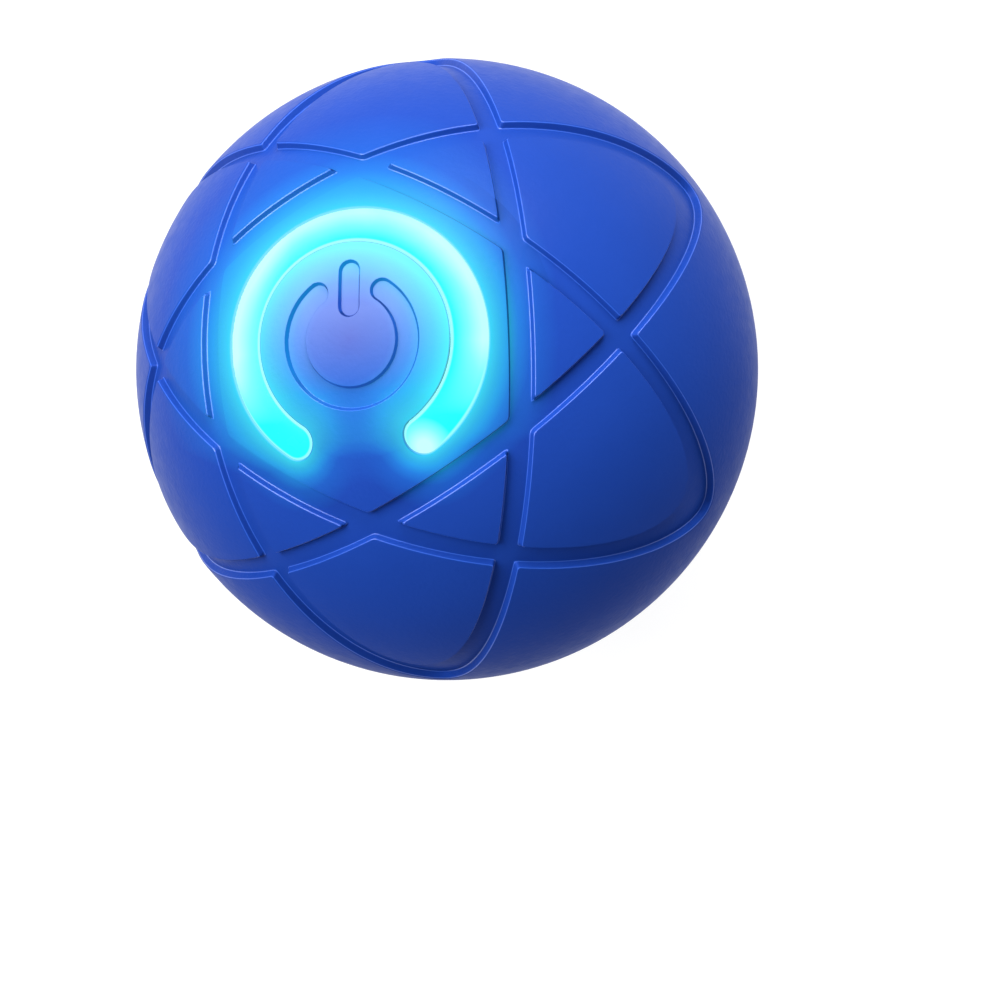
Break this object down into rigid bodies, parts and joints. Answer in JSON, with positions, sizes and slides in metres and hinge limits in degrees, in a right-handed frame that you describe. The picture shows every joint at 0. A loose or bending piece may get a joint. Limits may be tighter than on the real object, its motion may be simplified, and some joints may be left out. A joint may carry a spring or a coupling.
{
  "type": "bouncing dog ball",
  "caption": "Self-rolling pet ball: soft channelled skin over a hard shell, lit ring round a push button, with a driven off-centre weight inside.",
  "frame": {"origin": "centre of the ball", "axes": "+Z out through the middle of the button; +Y towards the top of the button's icon; +X to the icon's right, and along the drive axle"},
  "size_m": [0.054, 0.054, 0.054],
  "materials": {
    "skin": "satin blue silicone rubber",
    "light_guide": "translucent cyan, lit from below",
    "hard_shell": "moulded light grey",
    "seal": "matt black",
    "steel": "bright",
    "brass": "turned",
    "copper": "enamelled copper windings",
    "board": "green circuit board",
    "black_resin": "moulded black",
    "lamp_resin": "clear over white",
    "connector_resin": "moulded ivory",
    "chassis_resin": "moulded black",
    "gear_resin": "moulded ivory",
    "cell_case": "silver pouch",
    "foam": "foam",
    "red_wire": "insulated wire",
    "black_wire": "insulated wire"
  },
  "bodies": {
    "ball_body": {"outer_skin": "skin", "light_ring": "light_guide", "upper_shell": "hard_shell", "lower_shell": "hard_shell", "seal_ring": "seal", "shell_screw_1": "steel", "shell_screw_2": "steel", "shell_screw_3": "steel", "shell_screw_4": "steel", "main_board": "board", "board_screw_1": "steel", "board_screw_2": "steel", "board_screw_3": "steel", "led_1": "lamp_resin", "led_2": "lamp_resin", "led_3": "lamp_resin", "led_4": "lamp_resin", "led_5": "lamp_resin", "led_6": "lamp_resin", "switch_body": "black_resin", "controller_chip": "black_resin", "motion_sensor": "black_resin", "battery_connector": "connector_resin", "motor_connector": "connector_resin", "charge_board": "board", "charge_screw_1": "steel", "charge_screw_2": "steel", "charge_socket": "steel", "drive_chassis": "chassis_resin", "chassis_screw_1": "steel", "chassis_screw_2": "steel", "chassis_screw_3": "steel", "gearbox_cover": "chassis_resin", "gearbox_screw_1": "steel", "gearbox_screw_2": "steel", "gearbox_screw_3": "steel", "gearbox_screw_4": "steel", "idler_pin": "steel", "axle_bush_inner": "brass", "axle_bush_middle": "brass", "axle_bush_outer": "brass", "motor_can": "steel", "motor_end_cap": "black_resin", "battery": "cell_case", "battery_pad": "foam", "motor_lead_red": "red_wire", "motor_lead_black": "black_wire", "battery_lead_red": "red_wire", "battery_lead_black": "black_wire", "charge_lead": "red_wire"},
    "button_body": {"power_button": "skin", "switch_plunger": "steel"},
    "plug_body": {"port_plug": "skin"},
    "drive_body": {"output_gear": "gear_resin", "drive_axle": "steel", "eccentric_weight": "steel"},
    "idler_body": {"idler_gear": "gear_resin"},
    "rotor_body": {"motor_armature": "copper", "motor_shaft": "steel", "motor_pinion": "brass"}
  },
  "joints": [
    {"name": "button_press", "type": "slide", "parent": "ball_body", "child": "button_body", "axis": [0, 0, -1], "range_m": [0, 0.00045], "stiffness_N_per_m": 3000},
    {"name": "plug_hinge", "type": "hinge", "parent": "ball_body", "child": "plug_body", "pos_m": [-0.0088, 0, -0.0252], "axis": [0, 1, 0], "range_deg": [0, 95]},
    {"name": "axle_spin", "type": "hinge", "parent": "ball_body", "child": "drive_body", "pos_m": [0, 0, 0], "axis": [1, 0, 0], "continuous": true},
    {"name": "idler_spin", "type": "hinge", "parent": "ball_body", "child": "idler_body", "pos_m": [0, -0.00925, 0], "axis": [1, 0, 0], "continuous": true},
    {"name": "rotor_spin", "type": "hinge", "parent": "ball_body", "child": "rotor_body", "pos_m": [0, -0.00147, 0.00545], "axis": [1, 0, 0], "continuous": true}
  ],
  "couplings": [
    {"joint": "idler_spin", "follows": "axle_spin", "ratio": -2.7},
    {"joint": "rotor_spin", "follows": "axle_spin", "ratio": 7.56}
  ]
}
